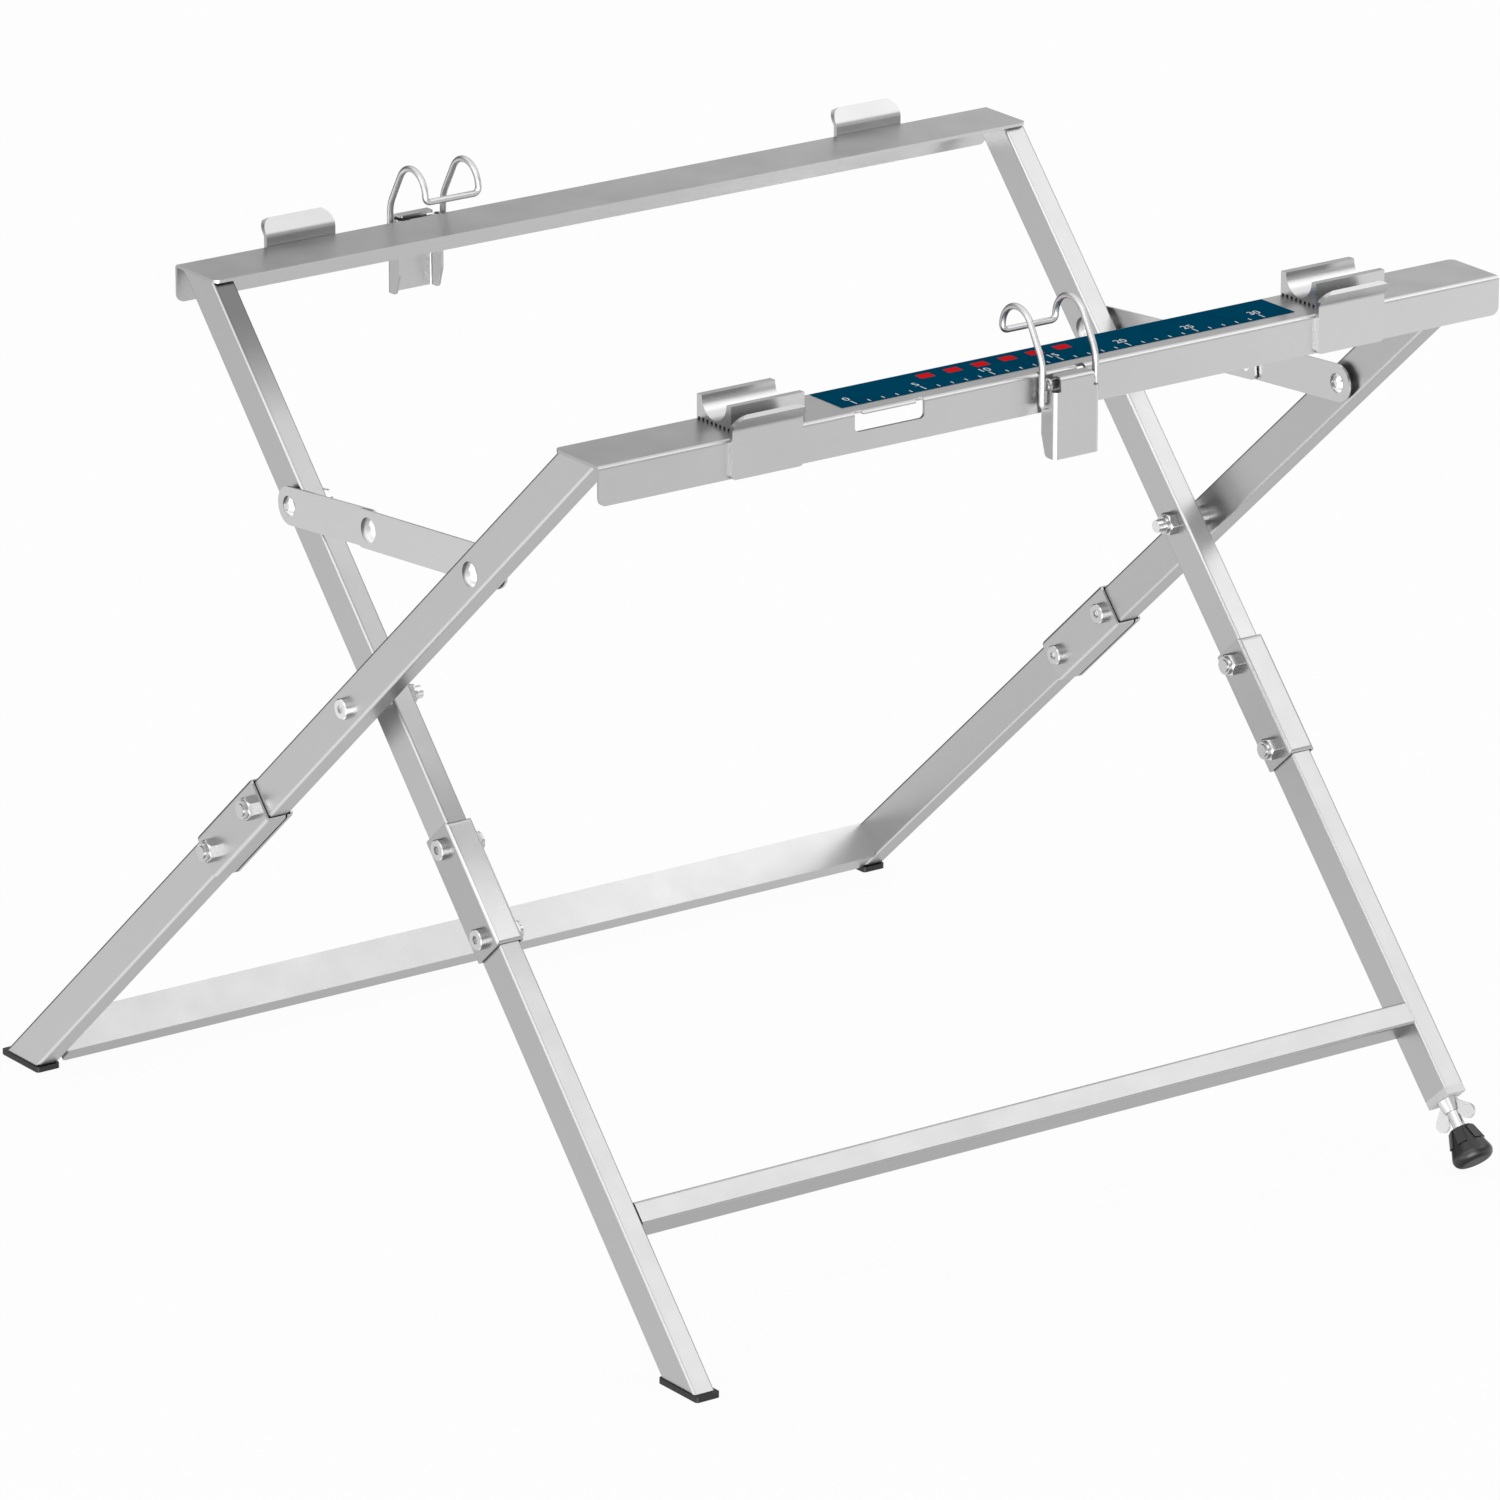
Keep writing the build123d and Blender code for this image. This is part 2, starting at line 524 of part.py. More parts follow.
def latch_pin(x):
    """The lever's hinge pin, with a thin head outside each side."""
    half = LEVER_W / 2
    pin = rod_x(-half - PIN_HEAD, half + PIN_HEAD, PIN_D / 2)
    for side in (-1, 1):
        pin += rod_x(side * half, side * (half + PIN_HEAD), PIN_D * 0.7)
    return Pos(x, LATCH_PIVOT_OUT, -LATCH_PIVOT_DOWN) * pin


def latch_bail(x):
    """A wire loop: turned-in ends, two kinked arms, two hooks and a bar."""
    arm = (LEVER_W + WIRE_D) / 2 + WIRE_CLEAR
    z0 = -LATCH_PIVOT_DOWN - BAIL_DROP
    y0 = LATCH_PIVOT_OUT
    apex = z0 + BAIL_KINK + BAIL_REACH * math.tan(math.radians(BAIL_LEAN))
    bar_y = y0 - BAIL_REACH
    half_path = [
        (arm - BAIL_END_IN, y0, z0),
        (arm, y0, z0),
        (arm, y0, z0 + BAIL_KINK),
        (arm, bar_y, apex),
        (arm, bar_y, z0 + BAIL_BAR_UP),
    ]
    other = [(-px, py, pz) for px, py, pz in reversed(half_path)]
    half_radii = [BAIL_END_R, BAIL_KINK_R, BAIL_HOOK_R, BAIL_CORNER_R]
    path = FilletPolyline(*(half_path + other), radius=half_radii + half_radii[::-1])
    start = Plane(origin=half_path[0], z_dir=(1, 0, 0))
    return Pos(x, 0, 0) * sweep(start * Circle(WIRE_D / 2), path=path)


# ---- braces ---------------------------------------------------------------------------------
def leg_point(tilt, lean, distance):
    """A point on a leg's axis above the main pivot, as (y, z); lean is -1 for frame A, +1 for B."""
    return (lean * distance * math.cos(tilt), PIVOT_H + distance * math.sin(tilt))


def knuckle_point(bolt, rivet):
    """The knuckle lies BRACE_SHORT from the bolt and BRACE_RISE above the line to the rivet."""
    dy, dz = rivet[0] - bolt[0], rivet[1] - bolt[1]
    span = math.hypot(dy, dz)
    uy, uz = dy / span, dz / span
    run = math.sqrt(BRACE_SHORT ** 2 - BRACE_RISE ** 2)
    off = math.copysign(BRACE_RISE, uy)
    return (bolt[0] + uy * run - uz * off, bolt[1] + uz * run + uy * off)


def link(start, end, x0, x1, start_hole, end_hole, square=False):
    """A flat link between two points given as (y, z): its ends are round, or the start is square."""
    dy, dz = end[0] - start[0], end[1] - start[1]
    length = math.hypot(dy, dz)
    turn = math.degrees(math.atan2(dz, dy))
    middle = Location(((start[0] + end[0]) / 2, (start[1] + end[1]) / 2, 0), (0, 0, turn))
    if square:
        flat = Pos(-LINK_END / 2, 0) * Rectangle(length + LINK_END, LINK_W)
        flat = fillet(flat.vertices().group_by(Axis.X)[0], LINK_CORNER)
        flat += Pos(length / 2, 0) * Circle(LINK_W / 2)
    else:
        flat = SlotCenterToCenter(length, LINK_W)
    for at, hole in ((-length / 2, start_hole), (length / 2, end_hole)):
        flat -= Pos(at, 0) * Circle(hole)
    return along_x(middle * flat, x0, x1)


# Across a brace, distances are counted from the face of the leg that carries the bolt, towards -X.
short_near = SHORT_STANDOFF
short_far = short_near + LINK_T
long_near = short_far + LINK_GAP
long_far = long_near + LINK_T


def brace(face, bolt, rivet):
    """All pieces of one brace. face is the X of the bolted leg's face, which looks to -X."""
    knuckle = knuckle_point(bolt, rivet)
    rivet_r = RIVET_D / 2
    pieces = {}
    pieces["brace_short"] = link(bolt, knuckle, face - short_far, face - short_near,
                                 bolt_r + RUN_FIT, rivet_r)
    pieces["brace_long"] = link(knuckle, rivet, face - long_far, face - long_near,
                                rivet_r, rivet_r, square=True)
    shank = short_far + FACE_FIT + TUBE_T + NUT_H + BOLT_END
    head_x = face - short_far - FACE_FIT
    pieces["brace_bolt"] = Pos(head_x, *bolt) * button_bolt(shank)
    pieces["brace_nut"] = Pos(face + TUBE_T, *bolt) * lock_nut()
    spacer = rod_x(face - short_near + FACE_FIT, face, BRACE_SPACER_D / 2, *bolt)
    spacer -= rod_x(face - short_far, face + 1, bolt_r + HOLE_FIT, *bolt)
    pieces["brace_spacer"] = spacer

    # This rivet is fixed in the long link and turns in the other leg.
    leg_far = face - LEG_GAP - TUBE_T - FACE_FIT
    pin = rod_x(leg_far, face - long_near, rivet_r, *rivet)
    pin += rod_x(FACE_FIT + face - LEG_GAP, face - long_far, RIVET_COLLAR_D / 2, *rivet)
    pin += Pos(leg_far, *rivet) * dome(RIVET_HEAD_D, RIVET_HEAD_H)
    pin += Pos(face - long_near, *rivet) * Rot(0, 0, 180) * dome(RIVET_TAIL_D, RIVET_TAIL_H)

    # The knuckle's rivet is in two halves, one in each link, so that each link stands alone.
    head = rod_x(face - long_far, face - long_near, rivet_r, *knuckle)
    head += Pos(face - long_far, *knuckle) * dome(RIVET_HEAD_D, KNUCKLE_HEAD_H)
    head += rod_x(face - long_near, face - short_far - FACE_FIT, KNUCKLE_WASHER_D / 2, *knuckle)
    pieces["brace_rivets"] = [pin, head]
    tail = rod_x(face - short_far, face - short_near, rivet_r, *knuckle)
    tail += Pos(face - short_near, *knuckle) * Rot(0, 0, 180) * dome(RIVET_TAIL_D, RIVET_TAIL_H)
    pieces["knuckle_tail"] = tail
    return pieces


# ---- main pivots ----------------------------------------------------------------------------
def main_pivot(side):
    """Bolt, spacer and nut of one main pivot; side is -1 for left and +1 for right."""
    b_inner = frame_b_half - TUBE_T
    shank = FRAME_A_HALF - b_inner + FACE_FIT + NUT_H + PIVOT_STUB
    bolt = Pos(-FRAME_A_HALF, 0, 0) * cap_bolt(shank)
    spacer = rod_x(FACE_FIT - FRAME_A_HALF + TUBE_T, -frame_b_half - FACE_FIT, SPACER_D / 2)
    spacer -= rod_x(-FRAME_A_HALF, 0, bolt_r + RUN_FIT)
    nut = Pos(-b_inner + FACE_FIT, 0, 0) * lock_nut()
    return [Pos(0, 0, PIVOT_H) * facing(shape, side > 0) for shape in (bolt, spacer, nut)]


# ---- feet -----------------------------------------------------------------------------------
def foot_cap(place, tilt, x_mid, outwards):
    """A plastic tray under a leg that is cut along the floor; outwards is the Y sign of its toe."""
    middle = (PIVOT_H - CAP_H) / math.tan(tilt)
    half = TUBE_W / 2 / math.sin(tilt)
    y0, y1 = outwards * (middle - half - CAP_HEEL), outwards * (middle + half + CAP_TOE)
    side = TUBE_T / 2 + CAP_SIDE
    tray = block(x_mid - side, x_mid + side, min(y0, y1), max(y0, y1), 0, CAP_H)
    tray = fillet(tray.edges().filter_by(Axis.Z), CAP_R)
    inset = TUBE_WALL + PLUG_FIT
    core = RectangleRounded(TUBE_T - 2 * inset, TUBE_W - 2 * inset, TUBE_R - TUBE_WALL / 2)
    plug = place * Pos(x_mid, 0, 0) * along_y(core, -FAR / 2, FAR / 2)
    plug &= block(-FAR, FAR, min(y0, y1) - CAP_PLUG, max(y0, y1) + CAP_PLUG, CAP_H / 2, CAP_H + CAP_PLUG)
    return tray + plug


# The levelling foot stands on frame B's right leg. Its pieces are drawn down the leg, along +Z.
pad_r = PAD_D / 2
pad_ring = pad_r - PAD_R
pad_end = PAD_R + (PIVOT_H - PAD_R - pad_ring * math.cos(tilt_b)) / math.sin(tilt_b)
pad_top = pad_end - PAD_L
wing_seat = pad_top - ROD_SHOWN - WING_H
leg_end = wing_seat - FACE_FIT - PLUG_T
down_b = Vector(0, -math.cos(tilt_b), -math.sin(tilt_b))
across_b = Vector(0, -math.sin(tilt_b), math.cos(tilt_b))


def on_foot_axis(distance, turn=0.0):
    """A plane across the levelling foot's axis, this far below the main pivot."""
    angle = math.radians(turn)
    x_dir = across_b * math.cos(angle) + Vector(1, 0, 0) * math.sin(angle)
    origin = Vector(leg_b_x, 0, PIVOT_H) + down_b * distance
    return Plane(origin=origin, x_dir=x_dir, z_dir=down_b)


def leg_plug():
    """The plate and insert that close the leg and guide the levelling rod."""
    plate = extrude(RectangleRounded(TUBE_W, TUBE_T, TUBE_R), PLUG_T)
    inset = 2 * (TUBE_WALL + PLUG_FIT)
    insert = extrude(RectangleRounded(TUBE_W - inset, TUBE_T - inset, TUBE_R - TUBE_WALL / 2), -PLUG_LEN)
    bore = Cylinder(bolt_r + RUN_FIT, 2 * (PLUG_T + PLUG_LEN))
    return on_foot_axis(leg_end).location * (plate + insert - bore)


def wing_nut():
    """A hub with two lobes that lean towards the foot."""
    shape = Pos(0, 0, WING_H / 2) * Cone(WING_HUB_D / 2, WING_HUB_TIP_D / 2, WING_H)
    run, drop = WING_REACH - WING_ROOT, WING_DROP - WING_ROOT
    length = math.hypot(run, drop)
    # The two tangent lines of the root's and the lobe's circles make the wing's edges.
    swing = math.acos((WING_ROOT_D - WING_LOBE_D) / 2 / length)
    for side in (-1, 1):
        aim = math.atan2(drop, side * run)
        corners = []
        for turn in (-swing, swing):
            angle = aim + turn
            root = (side * WING_ROOT + WING_ROOT_D / 2 * math.cos(angle),
                    WING_ROOT + WING_ROOT_D / 2 * math.sin(angle))
            tip = (side * WING_REACH + WING_LOBE_D / 2 * math.cos(angle),
                   WING_DROP + WING_LOBE_D / 2 * math.sin(angle))
            corners += [root, tip] if turn < 0 else [tip, root]
        lobe = make_face(Polyline(*corners, close=True))
        lobe += Pos(side * WING_ROOT, WING_ROOT) * Circle(WING_ROOT_D / 2)
        lobe += Pos(side * WING_REACH, WING_DROP) * Circle(WING_LOBE_D / 2)
        shape += Pos(0, WING_SHEET / 2, 0) * extrude(Plane.XZ * lobe, WING_SHEET)
    shape -= Cylinder(bolt_r + RUN_FIT, 4 * WING_DROP)
    return on_foot_axis(wing_seat, WING_TURN).location * shape


def foot_rod():
    length = ROD_IN + PLUG_T + FACE_FIT + WING_H + ROD_SHOWN + ROD_IN_FOOT
    start = leg_end - ROD_IN
    return on_foot_axis(start).location * Pos(0, 0, length / 2) * Cylinder(bolt_r, length)


def rubber_foot():
    """A cone with a rolled lower edge and raised ribs round its upper part."""
    top_r = PAD_TOP_D / 2
    ring_z = PAD_L - PAD_R
    far = math.hypot(pad_ring - top_r, ring_z)
    slope = math.atan2(ring_z, pad_ring - top_r) - math.asin(PAD_R / far)
    run = math.sqrt(far * far - PAD_R * PAD_R)
    touch = (top_r + run * math.cos(slope), run * math.sin(slope))
    outline = Polyline((pad_ring, PAD_L), (0, PAD_L), (0, 0), (top_r, 0), touch)
    edge = ThreePointArc(touch, (pad_ring + PAD_R * math.cos(math.radians(20)),
                                 ring_z + PAD_R * math.sin(math.radians(20))), (pad_ring, PAD_L))
    shape = revolve(Plane.XZ * make_face(outline + edge), Axis.Z)
    lean = 90 - math.degrees(slope)
    for index in range(RIB_COUNT):
        rib = Box(2 * RIB_H, RIB_W, RIB_L)
        seat = Pos(top_r + RIB_L / 2 / math.tan(slope), 0, RIB_L / 2 + RIB_H)
        shape += Rot(0, 0, RIB_TURN + index * 360 / RIB_COUNT) * seat * Rot(0, lean, 0) * rib
    shape -= Pos(0, 0, ROD_IN_FOOT / 2) * Cylinder(bolt_r + RUN_FIT, ROD_IN_FOOT)
    return on_foot_axis(pad_top).location * shape


# ---- assembly -------------------------------------------------------------------------------
def build_nodes():
    """Every node of the stand, as a list of solids under its name."""
    nodes = {}
    left_right = (("left", -1), ("right", 1))
    bolts = {"a": [], "b": []}
    nuts = {"a": [], "b": []}
    rear_caps = []
    for name, side in left_right:
        xa, xb = side * leg_a_x, side * leg_b_x
        on_a, on_b = (LEFT_RIVET_AT, LEFT_BOLT_AT) if side < 0 else (RIGHT_BOLT_AT, RIGHT_RIVET_AT)
        nodes[f"leg_a_upper_{name}"] = [upper_leg(place_a, 1, xa, SLEEVE_A_AT, on_a)]
        nodes[f"leg_a_lower_{name}"] = [lower_leg(place_a, 1, xa, SLEEVE_A_AT, None)]
        nodes[f"leg_b_upper_{name}"] = [upper_leg(place_b, -1, xb, SLEEVE_B_AT, on_b)]
        end = leg_end if side > 0 else None
        nodes[f"leg_b_lower_{name}"] = [lower_leg(place_b, -1, xb, SLEEVE_B_AT, end)]
        nodes[f"sleeve_a_{name}"] = [sleeve(place_a, xa, SLEEVE_A_AT, 1)]
        nodes[f"sleeve_b_{name}"] = [sleeve(place_b, xb, -SLEEVE_B_AT, 1)]
        # Frame A's bolt heads are on the inside of the stand, and frame B's are on the outside.
        pair = sleeve_fasteners(place_a, xa, SLEEVE_A_AT, side > 0)
        bolts["a"] += pair[0]
        nuts["a"] += pair[1]
        pair = sleeve_fasteners(place_b, xb, -SLEEVE_B_AT, side < 0)
        bolts["b"] += pair[0]
        nuts["b"] += pair[1]
        rear_caps.append(foot_cap(place_a, tilt_a, xa, 1))
    for frame in ("a", "b"):
        nodes[f"sleeve_bolts_{frame}"] = bolts[frame]
        nodes[f"sleeve_nuts_{frame}"] = nuts[frame]
    nodes["foot_caps_rear"] = rear_caps
    nodes["foot_cap_front_left"] = [foot_cap(place_b, tilt_b, -leg_b_x, -1)]
    nodes["rear_crossbar"] = [rear_crossbar()]
    nodes["front_crossbar"] = [front_crossbar()]

    pivots = [main_pivot(side) for _, side in left_right]
    for index, name in enumerate(("pivot_bolts", "pivot_spacers", "pivot_nuts")):
        nodes[name] = [pivot[index] for pivot in pivots]

    # The left brace is bolted to frame B, and the right one to frame A.
    left = (leg_point(tilt_b, 1, LEFT_BOLT_AT), leg_point(tilt_a, -1, LEFT_RIVET_AT))
    right = (leg_point(tilt_a, -1, RIGHT_BOLT_AT), leg_point(tilt_b, 1, RIGHT_RIVET_AT))
    for name, face, (bolt, rivet) in (("left", -frame_b_half, left),
                                      ("right", FRAME_A_HALF - TUBE_T, right)):
        for piece, shape in brace(face, bolt, rivet).items():
            nodes[f"{piece}_{name}"] = shape if isinstance(shape, list) else [shape]

    # Pieces on the front rail are drawn turned by half a turn, so their X is negated.
    nodes["front_rail"] = [rail(place_front, FRAME_A_HALF, ((0, LATCH_WINDOW_W), (LATCH_PITCH, WINDOW_W)))]
    nodes["rear_rail"] = [rail(place_rear, frame_b_half, ((-LATCH_PITCH, LATCH_WINDOW_W),))]
    screws = []
    for name, side in left_right:
        nodes[f"front_stop_{name}"] = [place_front * stop_plate(-side * STOP_AT)]
        nodes[f"rear_stop_{name}"] = [place_rear * stop_plate(side * STOP_AT)]
        x = -(side * STOP_AT + CRADLE_SHIFT)
        nodes[f"cradle_{name}"] = [place_front * cradle_block(x)]
        screws += [place_front * screw for screw in cradle_screws(x)]
    nodes["cradle_screws"] = screws
    holes = [place_front * (Pos(sx, sy, 0) * Cylinder(SCREW_D / 2 + HOLE_FIT, 3 * RAIL_SHEET))
             for side in (-1, 1) for sx, sy in screw_places(-(side * STOP_AT + CRADLE_SHIFT))]
    nodes["front_rail"] = [nodes["front_rail"][0] - holes]
    label_y = LABEL_EDGE + LABEL_W / 2 - RAIL_W
    label = Pos(-LABEL_AT_X, label_y, LABEL_T / 2) * Box(LABEL_L, LABEL_W, LABEL_T)
    nodes["label"] = [place_front * label]
    for name, place, x in (("front", place_front, 0), ("rear", place_rear, -LATCH_PITCH)):
        nodes[f"latch_base_{name}"] = [place * latch_base(x)]
        nodes[f"latch_lever_{name}"] = [place * latch_lever(x)]
        nodes[f"latch_pin_{name}"] = [place * latch_pin(x)]
        nodes[f"latch_bail_{name}"] = [place * latch_bail(x)]

    nodes["leg_plug"] = [leg_plug()]
    nodes["wing_nut"] = [wing_nut()]
    nodes["foot_rod"] = [foot_rod()]
    nodes["rubber_foot"] = [rubber_foot()]
    return nodes


def main():
    os.makedirs("parts", exist_ok=True)
    for name, solids in build_nodes().items():
        moved = [Pos(0, origin_shift, 0) * solid for shape in solids for solid in shape.solids()]
        shape = moved[0] if len(moved) == 1 else Compound(children=moved)
        export_step(shape, f"parts/{name}.step")


main()
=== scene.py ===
# %% [markdown]
# # A folding sawhorse in zinc-plated steel
# The stand is bare metal: rectangular tube, bent sheet, wire and bolts. The solids already
# have their shapes, so most of this lesson is about light and about finishes. A plated
# surface looks like metal through three things: what it reflects, how blurred that
# reflection is, and the faint grain that rolling and plating leave in it.

# %% Load the stand
import math
import bmesh
import bpy
from mathutils import Matrix, Vector


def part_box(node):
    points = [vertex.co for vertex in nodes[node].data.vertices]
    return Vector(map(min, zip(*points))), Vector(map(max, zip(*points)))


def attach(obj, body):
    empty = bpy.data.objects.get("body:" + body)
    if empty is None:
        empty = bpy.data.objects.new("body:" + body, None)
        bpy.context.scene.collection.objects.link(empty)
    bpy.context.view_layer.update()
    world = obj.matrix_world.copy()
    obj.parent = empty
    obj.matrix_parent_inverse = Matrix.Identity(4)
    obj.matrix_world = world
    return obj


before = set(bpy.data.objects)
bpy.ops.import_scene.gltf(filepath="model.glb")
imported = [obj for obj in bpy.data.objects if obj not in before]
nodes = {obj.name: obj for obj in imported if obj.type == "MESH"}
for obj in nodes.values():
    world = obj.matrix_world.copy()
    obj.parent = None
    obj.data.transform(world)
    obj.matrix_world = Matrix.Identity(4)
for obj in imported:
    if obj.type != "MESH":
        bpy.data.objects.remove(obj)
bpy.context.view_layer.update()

scene = bpy.context.scene

# %% [markdown]
# The stand is seen from its front left corner, a little above the rails, through a long
# lens. A long lens keeps the two rails nearly parallel, which is how product views of
# large tools are usually made.

# %% Camera
AZIMUTH, ELEVATION = 35.54, 19.02  # degrees to the left of the front, and above it
CAMERA_PLACE = (-3.60316, -5.03267, 2.37278)
FOCAL_LENGTH, SENSOR_WIDTH = 254.70528, 36.0  # millimetres
FAR_CLIP = 100

lens = bpy.data.cameras.new("long_lens")
lens.sensor_width = SENSOR_WIDTH
lens.lens = FOCAL_LENGTH
lens.clip_end = FAR_CLIP
camera = bpy.data.objects.new("camera", lens)
camera.location = CAMERA_PLACE
camera.rotation_euler = (math.radians(90 - ELEVATION), 0, -math.radians(AZIMUTH))
scene.collection.objects.link(camera)
scene.camera = camera
# With this transform a colour renders about as it is written.
scene.view_settings.view_transform = "Standard"
print("lens:", round(lens.lens), "mm")

# %% [markdown]
# The room is white for the camera. Metal has no colour of its own to speak of: it shows the
# room, so the room that metal sees is shaped with care. A flat face shows one small part of
# it: a rail's top shows the back right a little above the horizon, a rail's front shows the
# right below the horizon, and a left side shows the back left. Light that changes with
# height and from left to right therefore gives each family of flat faces its own grey.

# %% Room light
# Height of the direction, from -1 straight down to 1 straight up, and the light from there.
ROOM_LIGHT = [
    (-1.0, 0.8), (-0.73, 0.54), (-0.33, 0.80), (0.05, 0.60),
    (0.33, 0.32), (0.73, 0.94), (1.0, 0.94),
]
# The same from -1 at the far left to 1 at the far right, as a factor on it.
SIDE_LIGHT = [
    (-1.0, 0.8), (-0.65, 0.85), (-0.45, 1.18), (0.0, 1.0),
    (0.42, 0.86), (0.68, 1.22), (1.0, 1.22),
]

world = bpy.data.worlds.new("studio")
scene.world = world
world.use_nodes = True
room_tree = world.node_tree
room_tree.nodes.clear()
direction = room_tree.nodes.new("ShaderNodeTexCoord").outputs["Generated"]
split = room_tree.nodes.new("ShaderNodeSeparateXYZ")
room_tree.links.new(direction, split.inputs[0])


def grey(light):
    return (light, light, light, 1)


def ramp(tree, source, low, high, start=0.3, stop=0.7):
    """Turn a value between start and stop into one between low and high."""
    node = tree.nodes.new("ShaderNodeMapRange")
    node.inputs["From Min"].default_value = start
    node.inputs["From Max"].default_value = stop
    node.inputs["To Min"].default_value = low
    node.inputs["To Max"].default_value = high
    tree.links.new(source, node.inputs["Value"])
    return node.outputs["Result"]


def times(tree, colour, factor):
    """Multiply a colour by a value or by another colour."""
    node = tree.nodes.new("ShaderNodeVectorMath")
    node.operation = "MULTIPLY"
    tree.links.new(colour, node.inputs[0])
    tree.links.new(factor, node.inputs[1])
    return node.outputs["Vector"]


def light_strip(tree, place, stops):
    """Light that a place from 0 to 1 reads; stops are (place, light)."""
    strip = tree.nodes.new("ShaderNodeValToRGB")
    strip.color_ramp.elements[0].color = grey(stops[0][1])
    strip.color_ramp.elements[1].color = grey(stops[-1][1])
    for at, light in stops[1:-1]:
        strip.color_ramp.elements.new(at).color = grey(light)
    tree.links.new(place, strip.inputs[0])
    return strip.outputs["Color"]


def light_along(axis, stops):
    """Light that changes along one axis of the direction, from -1 to 1."""
    place = ramp(room_tree, split.outputs[axis], 0.0, 1.0, -1.0, 1.0)
    print("light along", axis, len(stops), "stops")
    return light_strip(room_tree, place, [((at + 1) / 2, light) for at, light in stops])


room = times(room_tree, light_along("Z", ROOM_LIGHT), light_along("X", SIDE_LIGHT))

# %% [markdown]
# Four cards hang in the room where no flat face looks. A dark one behind the stand puts a
# dark edge on round heads and pins, and a white one low at the back left fills the rest of
# each head. A white one at the left draws a thin bright line down the rounded corners of
# tube and sheet, and one low in front puts a highlight on the rim of the rubber foot.

# %% Cards
# Each card: the direction towards it, the angles at which it starts and is full, its light.
CARDS = [
    ((-0.10, 0.99, 0.04), 35, 19, 0.15),
    ((-0.66, 0.30, -0.69), 34, 16, 1.6),
    ((-0.86, -0.42, 0.12), 52, 35, 2.7),
    ((-0.35, -0.88, -0.25), 30, 14, 3.0),
]

for towards, edge, full, light in CARDS:
    facing = room_tree.nodes.new("ShaderNodeVectorMath")
    facing.operation = "DOT_PRODUCT"
    facing.inputs[1].default_value = Vector(towards).normalized()
    room_tree.links.new(direction, facing.inputs[0])
    start, stop = math.cos(math.radians(edge)), math.cos(math.radians(full))
    card = ramp(room_tree, facing.outputs["Value"], 1.0, light, start, stop)
    card.node.interpolation_type = "SMOOTHSTEP"
    room = times(room_tree, room, card)
print("cards:", len(CARDS))

# %% [markdown]
# The world answers each ray by its kind. The camera gets white. Metal gets the shaped room,
# and a ray that has met metal once already brings back less, which darkens corners and the
# gaps between pieces. Everything else, such as plastic, gets plain soft light.

# %% Light for each kind of ray
FIRST_LIGHT, SECOND_LIGHT = 1.12, 0.5
PLAIN_LIGHT = 0.7


def background(strength):
    """A white surround of this strength."""
    node = room_tree.nodes.new("ShaderNodeBackground")
    node.inputs["Color"].default_value = grey(1)
    node.inputs["Strength"].default_value = strength
    return node


def choose(tree, test, otherwise, chosen):
    """Show one shader where test is 1 and the other where it is 0."""
    mix = tree.nodes.new("ShaderNodeMixShader")
    tree.links.new(test, mix.inputs[0])
    tree.links.new(otherwise, mix.inputs[1])
    tree.links.new(chosen, mix.inputs[2])
    return mix.outputs[0]


rays = room_tree.nodes.new("ShaderNodeLightPath")
# Where a ray leaves for the room, Ray Depth is 2 after one bounce and 3 after two.
bounced = ramp(room_tree, rays.outputs["Ray Depth"], FIRST_LIGHT, SECOND_LIGHT, 2.0, 3.0)
by_metal = background(1.0)
room_tree.links.new(bounced, by_metal.inputs["Strength"])
room_tree.links.new(room, by_metal.inputs["Color"])
surround = choose(room_tree, rays.outputs["Is Glossy Ray"],
                  background(PLAIN_LIGHT).outputs[0], by_metal.outputs[0])
surround = choose(room_tree, rays.outputs["Is Camera Ray"], surround, background(1.0).outputs[0])
room_out = room_tree.nodes.new("ShaderNodeOutputWorld")
room_tree.links.new(surround, room_out.inputs[0])
print("room nodes:", len(room_tree.nodes))

# %% [markdown]
# The floor is white paper. It shows a faint shadow of the stand and nothing else: rays that
# metal sends out pass through it, so that what metal shows comes from the room alone.

# %% Floor
FLOOR_HALF = 30      # metres from the middle to each edge
FLOOR_DROP = 0.0004  # below the feet, so that the two never share a plane
PAPER_GREY = 0.9
PAPER_GLOW = 0.95    # share of the paper that is white whatever light falls on it

floor_mesh = bpy.data.meshes.new("floor")
bm = bmesh.new()
bmesh.ops.create_grid(bm, x_segments=1, y_segments=1, size=FLOOR_HALF)
bmesh.ops.translate(bm, verts=bm.verts, vec=(0, 0, -FLOOR_DROP))
bm.to_mesh(floor_mesh)
bm.free()
floor = bpy.data.objects.new("floor", floor_mesh)
scene.collection.objects.link(floor)

paper = bpy.data.materials.new("studio_floor")
paper.use_nodes = True
paper_tree = paper.node_tree
paper_tree.nodes.clear()
matt = paper_tree.nodes.new("ShaderNodeBsdfDiffuse")
matt.inputs["Color"].default_value = grey(PAPER_GREY)
glow = paper_tree.nodes.new("ShaderNodeEmission")
clear = paper_tree.nodes.new("ShaderNodeBsdfTransparent")
seen = paper_tree.nodes.new("ShaderNodeLightPath")
share = paper_tree.nodes.new("ShaderNodeMath")
share.operation = "MULTIPLY"
share.inputs[1].default_value = PAPER_GLOW
paper_tree.links.new(seen.outputs["Is Camera Ray"], share.inputs[0])
surface = choose(paper_tree, share.outputs[0], matt.outputs[0], glow.outputs[0])
surface = choose(paper_tree, seen.outputs["Is Glossy Ray"], surface, clear.outputs[0])
paper_out = paper_tree.nodes.new("ShaderNodeOutputMaterial")
paper_tree.links.new(surface, paper_out.inputs[0])
floor_mesh.materials.append(paper)
print("floor:", 2 * FLOOR_HALF, "m across")

